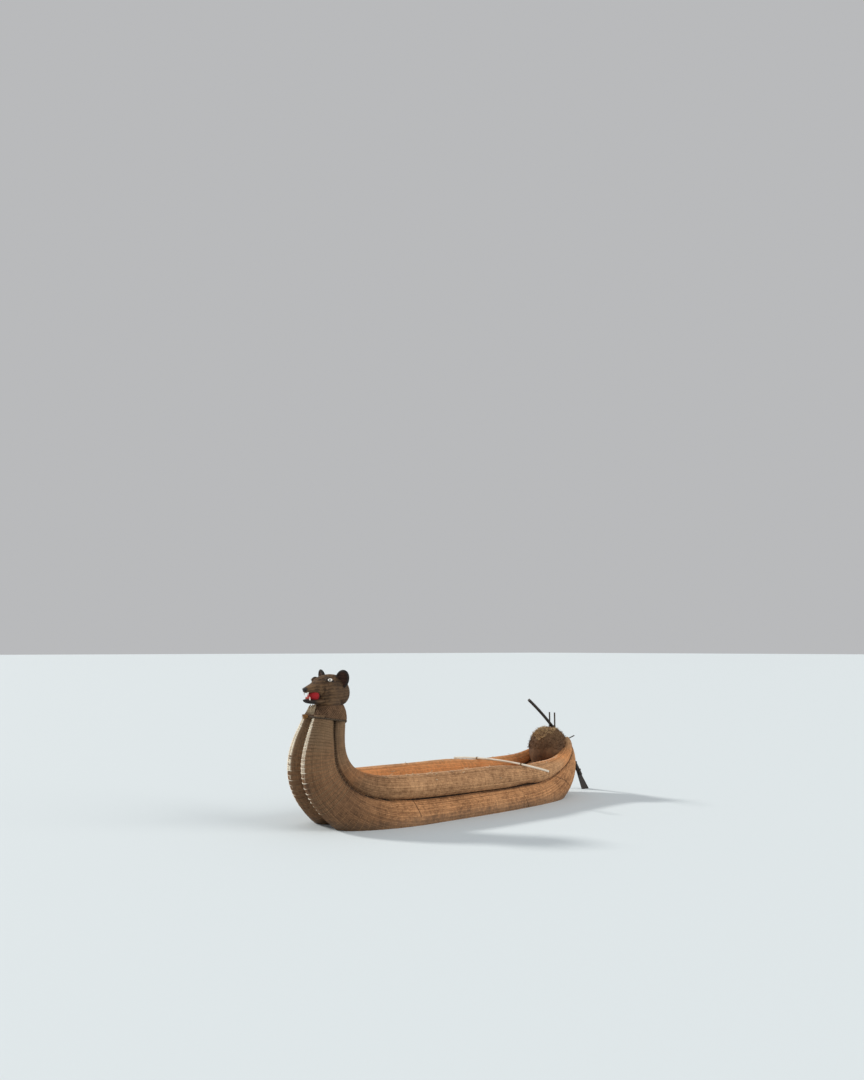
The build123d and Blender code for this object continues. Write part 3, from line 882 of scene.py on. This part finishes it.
# %% Tie in the tuft
tuft_root = rope_mid + rope_x * (ring_long + 0.006)
chance = random.Random(17)
tuft = []
for straw in range(150):
    bearing, reach = chance.uniform(0, 2 * pi), sqrt(chance.random())
    side = Vector((0, 1, 0)) * cos(bearing) + rope_up * sin(bearing)
    length = chance.uniform(0.05, 0.1)
    line = [tuft_root + rope_x * (length * s - 0.004) + side * reach * (0.018 + 0.024 * s * s)
            - Vector((0, 0, 0.012 * s * s)) for s in (0.0, 0.25, 0.5, 0.75, 1.0)]
    tuft.append((line, [0.0021, 0.0021, 0.0019, 0.0016, 0.0011], chance.random(), False))
tuft_straw = reed("tuft_straw", "reed_tuft", (0.66, 0.37, 0.13), (0.32, 0.15, 0.05), (0.5, 0.36, 0.2),
                  grey_from=3.0, grey_to=4.0)
tubes_on("neck_tuft_straws", tuft, tuft_straw, stands_for=["neck_tuft"])

# %% [markdown]
# ## The head
# On the real boat the head is a reed core wound with fine cord, and brow, cheeks and muzzle run into
# each other without an edge. The solids meet at sharp seams, so a copy of skull and muzzle is joined
# into one skin by a voxel remesh, and a few smoothing steps round the seams away.

# %% Grow one skin over the head
def welded(*names):
    """Solids in one form, with the doubled points along their edges joined."""
    form = bmesh.new()
    for name in names:
        form.from_mesh(solid[name].data)
    bmesh.ops.remove_doubles(form, verts=form.verts, dist=0.00002)
    return form


def joined_skin(name, nodes, voxel, smooth):
    """One closed smooth mesh over some solids."""
    piece = link(name, mesh_of(name, welded(*nodes)))
    remesh = piece.modifiers.new("remesh", "REMESH")
    remesh.mode, remesh.voxel_size, remesh.use_smooth_shade = "VOXEL", voxel, True
    soften = piece.modifiers.new("soften", "SMOOTH")
    soften.factor, soften.iterations = 0.5, smooth
    done = applied(piece)
    done.materials.clear()
    print(f"{name}: {len(done.polygons) * 2} triangles")
    return done


def keep_marks(mesh, marks):
    """Keep on a mesh how dark each of its points is painted: dye, and on the head also painted shade."""
    mesh.attributes.new("mark", "FLOAT", "POINT").data.foreach_set("value", marks)


head_turn = radians(14)
head_mid = place(2080, 0, 0)


def in_head(point):
    """Place in the head's own frame, in millimetres: forward of the neck's middle, port, above water."""
    p = point - head_mid
    return Vector((p.x * cos(head_turn) + p.y * sin(head_turn),
                   -p.x * sin(head_turn) + p.y * cos(head_turn), p.z)) * 1000


def pit(distance, radius):
    """1 at a pit's middle, 0 from its rim."""
    share = held(1 - distance / radius)
    return share * share * (3 - 2 * share)


def cheek_height(p):
    """Height of the fold that arches over the cheek."""
    return 2158 + 0.0007 * (p.x - 60) ** 2


def head_shade(p):
    """How dark the paint is at a place of the head, from 0 to 1, with painted shade over the lower back
    of the head. Each mark is a pit with its own place and width in millimetres."""
    side, spots = abs(p.y), []
    nose = pit((Vector((p.x, p.y * 0.7, p.z)) - Vector((508, 0, 2090))).length, 62)
    spots.append(min(nose * 1.7, 1.0))
    if p.x > 235 and p.z < 2040:
        lip = pit(abs(p.z - (1996 + 0.16 * (p.x - 300))), 26)
        spots.append(min(lip * 1.4, 1.0))
    if side > 70 and 30 < p.x < 235:
        brow = pit(abs(p.z - (2262 - 0.0022 * (p.x - 130) ** 2)), 15)
        spots.append(brow * 0.75)
    if side > 110:
        eye_line = pit(sqrt((p.x - 148) ** 2 / 3.2 + (p.z - 2219) ** 2), 44)
        spots.append(min(eye_line * 1.7, 0.95))
    if side > 120:
        eye_rear = pit(sqrt((p.x - 84) ** 2 / 3.4 + (p.z - 2203) ** 2), 30)
        spots.append(min(eye_rear * 1.8, 1.0))
    if side > 140:
        spots.append(pit(abs(p.z - cheek_height(p)), 15) * pit(abs(p.x - 40), 150) * 0.7)
    # Painted shade: the back of the head is darker, most of all low down.
    back = 0.42 * held((170 - p.x) / 160) * held((2290 - p.z) / 120)
    return max(back, *spots)


head_mesh = joined_skin("head_skin", ["head_skull", "head_snout"], 0.006, 6)
dark, normals = [], [vert.normal.copy() for vert in head_mesh.vertices]
for vert, normal in zip(head_mesh.vertices, normals):
    p = in_head(vert.co)
    dark.append(head_shade(p))
    nostril = Vector((498, 22 if p.y > 0 else -22, 2080))
    sink = 11 * pit((p - nostril).length, 15)
    muzzle_groove = sqrt((p.x - 300) ** 2 / 20 + (p.z - (2150 - 0.2 * p.x)) ** 2)
    sink += 5 * pit(muzzle_groove, 16)
    if abs(p.y) > 150 and p.x < 200:
        sink += 7 * pit(abs(p.z - cheek_height(p)), 16) * pit(abs(p.x - 40), 130)
    vert.co -= normal * sink / 1000
keep_marks(head_mesh, dark)
head_piece = link("head_skin", head_mesh)
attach(head_piece, "hull")
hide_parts("head_skull", "head_snout")

# %% [markdown]
# ## The head's wound finish
# Fine cord goes round and round the head, nearly level, in broad bands of lighter and darker straw, and
# is dyed dark at nose, lips and round the eyes; the lower back of the head carries painted shade. The
# dark places are kept on the mesh as one value, worked out from their places in the head's own frame.
# Cord and bands are waves over the height.

# %% The head finish
def wound(name, slot, light, dark, pitch):
    """Fine cord wound level round a form, dark where the mesh's mark is 1: dyed, and on the head's back
    also painted shade.
    """
    made = Finish(name, slot, rough=0.8)
    warp = made.spot.noise(5.0, 2.0)
    level = made.spot.axis("Z") + (warp - 0.5) * 0.06 + made.spot.axis("X") * 0.06
    cord = (level * (2 * pi / pitch)).apply("SINE")
    fibre = made.spot.stretch(1.0, 1.0, 6.0).noise(70.0, 4.0, 0.7)
    patch = made.spot.noise(7.0, 3.0, 0.6)
    band_apart = 0.047
    band = (level * (2 * pi / band_apart) + (patch - 0.5) * 9.0).apply("SINE")
    shade = (cord * 0.2 + band * 0.16 + (fibre - 0.5) * 2.0 + (patch - 0.5) * 2.4 + 0.5).clamp()
    mark = (made.attribute("mark") + (fibre - 0.5) * 0.35).clamp()
    straw = shade.mix(colour(*dark), colour(*light))
    made.feed("Base Color", mark.mix(straw, colour(0.018, 0.015, 0.014)))
    made.bump(cord * 0.4 + band * 0.8 + fibre, 0.003)
    return made


head_straw = wound("head_straw", "reed_head", (0.19, 0.108, 0.052), (0.035, 0.018, 0.008), pitch=0.016)
head_mesh.materials.append(head_straw.material)

# %% [markdown]
# ## Jaw, ears and mouth
# The jaw is dyed nearly black outside. The ears are cups, black along the rim and red-brown inside.
# Both are remeshed copies, so that each can carry its own mark: for an ear it is the distance from the
# cup.

# %% Jaw and ears
jaw_mesh = joined_skin("jaw_skin", ["head_jaw"], 0.005, 4)
keep_marks(jaw_mesh, [held((in_head(vert.co).x - 250) / 120, 0.35) for vert in jaw_mesh.vertices])
jaw_mesh.materials.append(head_straw.material)
jaw_piece = link("jaw_skin", jaw_mesh)
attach(jaw_piece, "hull")
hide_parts("head_jaw")

ear_straw = wound("ear_straw", "ear_reed", (0.085, 0.038, 0.024), (0.022, 0.01, 0.007), pitch=0.013)
for side, name in ((1, "port"), (-1, "starboard")):
    ear_mesh = joined_skin("ear_skin_" + name, ["ear_" + name], 0.004, 4)
    turn = Matrix.Rotation(radians(-24 * side), 3, "X") @ Matrix.Rotation(radians(24 * side), 3, "Z")
    ear_mid, dark = Vector((-90, side * 213, 2224)), []
    for vert in ear_mesh.vertices:
        p = turn.inverted() @ (in_head(vert.co) - ear_mid)
        cup = sqrt(((p.x - 34) / 38) ** 2 + (p.y / 92) ** 2 + (p.z / 134) ** 2)
        reach = sqrt((p.y / 114) ** 2 + (p.z / 156) ** 2)
        dark.append(1 - pit(cup - 0.98, 0.16) * (1 - pit(1 - reach, 0.38)) if p.x > -14 else 1.0)
    keep_marks(ear_mesh, dark)
    ear_mesh.materials.append(ear_straw.material)
    ear_piece = link("ear_skin_" + name, ear_mesh)
    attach(ear_piece, "hull")
    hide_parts("ear_" + name)

# %% Paint eyes, nose and mouth
def painted(name, slot, base, spots, rough, depth=0.0006, grain=120.0, shade_behind=None):
    """Brushed paint over reed or wood, with painted shade behind a place along the boat if one is given.
    """
    made = Finish(name, slot, rough=rough)
    wear = made.spot.noise(grain * 0.25, 4.0, 0.65)
    brush = made.spot.stretch(1.0, 1.0, 3.0).noise(grain, 3.0, 0.6)
    worn = ((wear - 0.5) * 1.6 + (brush - 0.5) * 0.6 + 0.35).clamp().mix(colour(*base), colour(*spots))
    if shade_behind:
        # Painted shade: behind the given place the paint turns near-black, as the shade at the back of
        # the mouth.
        forward, blur = made.spot.axis("X") + (wear - 0.5) * 0.03, 0.022
        unshaded = forward.step(shade_behind - blur, shade_behind + blur)
        worn = unshaded.mix(colour(0.03, 0.014, 0.01), worn)
    made.feed("Base Color", worn)
    made.feed("Roughness", ((wear - 0.5) * 0.25 + rough).clamp())
    made.bump(brush, depth)
    return made


paint(painted("eye_paint", "eye_white", (0.86, 0.84, 0.8), (0.66, 0.62, 0.55), 0.3),
      "eye_port", "eye_starboard")
paint(painted("pupil_paint", "pupil_dark", (0.02, 0.018, 0.016), (0.05, 0.045, 0.04), 0.25),
      "pupil_port", "pupil_starboard")
paint(painted("nose_paint", "nose_dark", (0.018, 0.016, 0.016), (0.05, 0.043, 0.04), 0.5), "nose")
paint(painted("lining_cloth", "mouth_red", (0.42, 0.012, 0.018), (0.12, 0.004, 0.006), 0.8,
              0.002, 420.0, shade_behind=origin.x + 2.33), "mouth_lining")
paint(painted("tongue_cloth", "tongue_red", (0.6, 0.12, 0.1), (0.42, 0.05, 0.045), 0.7,
              0.0015, 420.0), "tongue")
paint(painted("tooth_paint", "tooth_white", (0.86, 0.83, 0.76), (0.6, 0.52, 0.4), 0.35), "teeth")

# %% [markdown]
# ## Straw on the stern bolster
# The bolster is a bundled mass with straw ends sticking up from it, in two coats: dark straw all over
# and golden straw on its top. The golden top and the lighter colour both coats take high up are painted
# sunlight, and the dark coat below is painted shade. The scatter tree plants thin blades; the mesh it
# reads is a copy of the solid's upper outside only, so that no straw grows into the hull, the notch or
# the oar's way.

# %% Plant the straw
def faces_of(name, wanted):
    """Copy of a solid's faces for which wanted(middle, normal) is true."""
    form = welded(name)
    form.normal_update()
    spare = [f for f in form.faces if not wanted(f.calc_center_median(), f.normal)]
    bmesh.ops.delete(form, geom=spare, context="FACES")
    return mesh_of(name + "_faces", form)


# Both coats grow lighter high up: painted sunlight on the bolster's top, over a dark coat of painted
# shade.
bolster_reed = reed("bolster_reed", "reed_bolster", (0.24, 0.125, 0.06), (0.05, 0.025, 0.013),
                    (0.24, 0.14, 0.07), grey_from=0.95, grey_to=1.15)
mound_straw = reed("mound_straw", "reed_bolster", (0.85, 0.58, 0.29), (0.34, 0.2, 0.095),
                   (0.8, 0.6, 0.34), grey_from=1.05, grey_to=1.3)
bolster_mid = place(-2745, 0, 820)
fork_mid = place(-2860, 0, 1185)
lowest_oar, widest_swing, straw_reach, straw_above = radians(25), radians(18), 0.09, 0.05


def clear_of_oar(point):
    """True where a straw stays out of the oar's reach at its lowest, over its whole swing."""
    ahead, aside, above = point - fork_mid
    run = sqrt(ahead ** 2 + aside ** 2)
    return (above * cos(lowest_oar) - run * sin(lowest_oar) < -straw_above
            or (abs(atan2(aside, ahead)) - widest_swing) * run > straw_reach)


def on_dome(middle, normal):
    """True for faces of the rounded outside, not of the seats and the notch, out of the oar's way."""
    out = middle - bolster_mid
    off_dome = abs((out.x / 0.375) ** 2 + (out.y / 0.345) ** 2 + (out.z / 0.425) ** 2 - 1)
    return (off_dome < 0.03 and normal.dot(out) > 0 and middle.z > origin.z + 0.86
            and clear_of_oar(middle))


def on_top(middle, normal):
    """True for faces of the dome above a wavy line that rises towards the stern."""
    line = origin.z + 1.16 - 0.35 * (middle.x - bolster_mid.x) - 0.03 * sin(middle.y * 23)
    return on_dome(middle, normal) and middle.z > line


blade_long, blade_wide, bend = 0.06, 0.0032, 0.14
straw = ringed("straw_blade", [(blade_wide * thin, blade_long * s, bend * blade_long * s * s, 0)
                               for s, thin in ((0, 1.0), (0.5, 0.8), (1, 0.25))], 3)
# Name, finish, least distance, lean, seed and the faces that the coat grows on.
coats = (("bolster_straws", bolster_reed, 0.011, 1.45, 6, on_dome),
         ("mound_straws", mound_straw, 0.009, 1.4, 7, on_top))
for name, finish, apart, lean, seed, wanted in coats:
    piece = grow(name, faces_of("stern_bolster", wanted), scatter_tree, finish, Shape=straw,
                 Distance=apart, Density=5200.0, Smallest=0.3, Lean=lean, Seed=seed)
    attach(piece, "hull")
bpy.data.objects.remove(straw)
paint(bolster_reed, "stern_bolster")

# %% [markdown]
# ## Timber: oar, fork, peg and pole
# The oar, fork and peg are wet, nearly black wood, and the pole is peeled and bleached. Grain runs along
# a stick, so the finish stretches its noise along that stick's own direction.

# %% Timber finishes
def timber(name, slot, light, dark, way, rough):
    """Wood whose grain runs along a direction."""
    made = Finish(name, slot, rough=rough)
    turn = Vector(way).normalized().to_track_quat("X", "Z").to_euler()
    level = made.wire.node("ShaderNodeMapping", {"vector_type": "TEXTURE"},
                           {"Vector": made.spot, "Rotation": (turn.x, turn.y, turn.z)})
    grain = level.stretch(0.07, 1.0, 1.0).noise(150.0, 5.0, 0.65)
    knots = level.stretch(0.4, 1.0, 1.0).noise(14.0, 2.0, 0.5)
    shade = ((grain - 0.5) * 1.7 + (knots - 0.5) * 1.2 + 0.5).clamp()
    made.feed("Base Color", shade.mix(colour(*dark), colour(*light)))
    made.feed("Roughness", (shade * 0.25 + (rough - 0.12)).clamp())
    made.bump(grain + knots, 0.0015)
    return made


oar_wood = timber("oar_wood", "wood_dark", (0.05, 0.038, 0.03), (0.012, 0.01, 0.009), (-1, 0, -1), 0.5)
fork_wood = timber("fork_wood", "wood_dark", (0.08, 0.058, 0.042), (0.02, 0.015, 0.012), (0, 0, 1), 0.6)
peg_horn = timber("peg_horn", "horn_dark", (0.1, 0.08, 0.062), (0.03, 0.024, 0.02),
                  (-0.9, 0.2, 0.35), 0.4)
pole_wood = timber("pole_wood", "pole_pale", (0.78, 0.73, 0.64), (0.5, 0.43, 0.33), (0.08, 1, 0), 0.65)
paint(oar_wood, "oar_shaft", "oar_blade")
paint(fork_wood, "oar_fork")
paint(peg_horn, "stern_peg")
paint(pole_wood, "cross_pole")

# %% [markdown]
# ## Lashings of oar, fork and pole
# Every lashing is turns of rope round a stick. A turn is a closed guide round the stick's axis, or a
# flattened one round shaft and blade together.

# %% Tie the lashings
def turn_round(middle, way, radius, samples):
    """Closed ring round an axis."""
    way = way.normalized()
    across = way.cross(Vector((0, 1, 0)) if abs(way.y) < 0.9 else Vector((1, 0, 0))).normalized()
    other = way.cross(across)
    return [middle + (across * cos(2 * pi * i / samples) + other * sin(2 * pi * i / samples)) * radius
            for i in range(samples)]


oar_slope = radians(45)
oar_way = Vector((-cos(oar_slope), 0, -sin(oar_slope)))
over_oar = Vector((-sin(oar_slope), 0, cos(oar_slope)))
strop_mid, strop = middle_of("oar_strop"), []
for offset in (-0.0275, -0.0205, 0.0205, 0.0275):
    line = turn_round(strop_mid + oar_way * offset, oar_way, 0.0325, 26)
    strop.append((line, 0.0045, 0.5 + offset * 9, True))
tubes_on("oar_strop_turns", strop, dark_rope, body="strop", sides=6, stands_for=["oar_strop"])

saddle_mid, wrap = middle_of("fork_saddle"), []
wrap_turns, wrap_long, wrap_r, steps = 10, 0.073, 0.0082, 160
for i in range(steps + 1):
    a = 2 * pi * wrap_turns * i / steps
    wrap.append(saddle_mid + Vector((wrap_r * cos(a), wrap_long * (i / steps - 0.5), wrap_r * sin(a))))
core = [saddle_mid + Vector((0, y, 0)) for y in (-0.04, 0.04)]
tubes_on("fork_saddle_wrap", [(wrap, 0.0037, 0.5, False), (core, 0.0075, 0.3, False)], dark_rope,
         body="saddle", sides=6, stands_for=["fork_saddle"])

pole_skin, lashing = skin_of("cross_pole"), []
pole_way = Vector((-0.0755, 1, 0)).normalized()
down, pole_r, turn_apart = Vector((0, 0, -1)), 0.018, 0.0064
for side in (1, -1):
    seat = place(-1485 - side * 45 * 0.47, side * 559, 0)
    top = pole_skin.ray_cast(Vector((seat.x, seat.y, 3.0)), down)[0]
    for k in range(-2, 3):
        line = turn_round(top + down * pole_r + pole_way * turn_apart * k, pole_way,
                          0.0205 + 0.001 * (k % 2), 22)
        lashing.append((line, 0.0036, 0.5 + 0.1 * k, True))
tubes_on("pole_lashing", lashing, tie_rope, sides=6)

# %% The blade's bands
def squared(value):
    """A sine or cosine drawn towards 1 or -1, so that a ring comes near to a rectangle."""
    return abs(value) ** 0.5 * (1 if value > 0 else -1)


band_apart, band_r, turn_apart = 0.18, 0.0035, 0.0056
lash_way = (oar_way - over_oar * 0.9 / 5.2).normalized()
lash_up, bands_mid, groups = lash_way.cross(Vector((0, 1, 0))), middle_of("blade_bands"), {}
for vert in solid["blade_bands"].data.vertices:
    groups.setdefault(round((vert.co - bands_mid).dot(lash_way) / band_apart), []).append(vert.co)
bindings = []
for key, spots in sorted(groups.items()):
    runs, ups, sides = zip(*((spot.dot(lash_way), spot.dot(lash_up), spot.y) for spot in spots))
    along_mid, up_mid, side_mid = ((min(v) + max(v)) / 2 for v in (runs, ups, sides))
    tall, wide = ((max(v) - min(v)) / 2 - band_r for v in (ups, sides))
    for k in (-1, 0, 1):
        line = []
        for i in range(28):
            c, s = squared(cos(2 * pi * i / 28)), squared(sin(2 * pi * i / 28))
            line.append(lash_way * (along_mid + turn_apart * k) + lash_up * (up_mid + tall * s)
                        + Vector((0, side_mid + wide * c, 0)))
        bindings.append((line, 0.0036, 0.5 + 0.2 * k, True))
tubes_on("blade_bindings", bindings, dark_rope, body="oar", sides=6, stands_for=["blade_bands"])
print(len(groups), "bands on the blade")

# %% [markdown]
# ## Loose ends of straw
# Bound reed sheds. Loops and ends of pale straw stand out at the front of the collar and break its clean
# outline.

# %% Loose straw
chance = random.Random(41)
loops = []
for k in range(64):
    bearing = chance.uniform(-0.4, 0.4)
    root = on_collar(bearing, chance.uniform(0.0, 0.3), 0.0)
    if root is None:
        continue
    way = Vector((cos(bearing), sin(bearing), 0))
    side = Vector((-way.y, way.x, 0))
    height, bulge = chance.uniform(0.06, 0.13), chance.uniform(0.004, 0.02)
    bow = way * bulge + side * chance.uniform(-0.02, 0.02)
    rise = Vector((0, 0, height)) - way * 0.32 * height
    line = [root + rise * i / 6 + bow * sin(pi * i / 6) for i in range(7)]
    loops.append((line, 0.0038, chance.random(), False))
tubes_on("collar_loops", loops, pale_straw)

# %% [markdown]
# ## Floor, light and camera
# The floor is a plain pale plane at the waterline. The world gives an even light, a low sun comes from
# behind the bow, so that the edges that face it are bright, and a broad weak fill from the stern quarter
# shows the near side in its own colours. The camera stands off the port bow, a little above the gunwale.

# %% Floor
floor_mesh = bpy.data.meshes.new("floor")
reach = 400
corners = [(x * reach, y * reach, origin.z) for x, y in ((-1, -1), (1, -1), (1, 1), (-1, 1))]
floor_mesh.from_pydata(corners, [], [(0, 1, 2, 3)])
floor = link("floor", floor_mesh)
floor_paint = Finish("floor_paint", None, rough=0.9)
floor_paint.shader.inputs["Base Color"].default_value = colour(0.66, 0.73, 0.77)
floor_mesh.materials.append(floor_paint.material)

# %% World, sun and camera
scene = bpy.context.scene
world = bpy.data.worlds.new("studio")
scene.world = world
world.use_nodes = True
air = world.node_tree.nodes["Background"]
air.inputs["Color"].default_value = colour(0.97, 0.98, 1.0)
air.inputs["Strength"].default_value = 0.5
# Name, strength, angle across the source and the way to it.
for name, strength, spread, way in (("sun", 2.6, 0.12, (0.476, -0.69, 0.5)),
                                    ("fill", 1.5, 0.7, (-0.45, 0.75, 0.42))):
    lamp = bpy.data.lights.new(name, "SUN")
    lamp.energy, lamp.angle, lamp.color = strength, spread, (1.0, 0.95, 0.88)
    link(name, lamp).rotation_euler = Vector(way).to_track_quat("Z", "Y").to_euler()
camera = bpy.data.cameras.new("camera")
camera.sensor_fit, camera.sensor_height, camera.lens, camera.clip_end = "VERTICAL", 36, 28.83, 2000
camera_object = link("camera", camera)
camera_object.location = place(9200, 11740, 2700)
pitch = radians(7.15)
ahead = Vector((-0.6157, -0.788, 0)).normalized() * cos(pitch) + Vector((0, 0, sin(pitch)))
camera_object.rotation_euler = ahead.to_track_quat("-Z", "Y").to_euler()
scene.camera = camera_object
scene.view_settings.view_transform = "Standard"
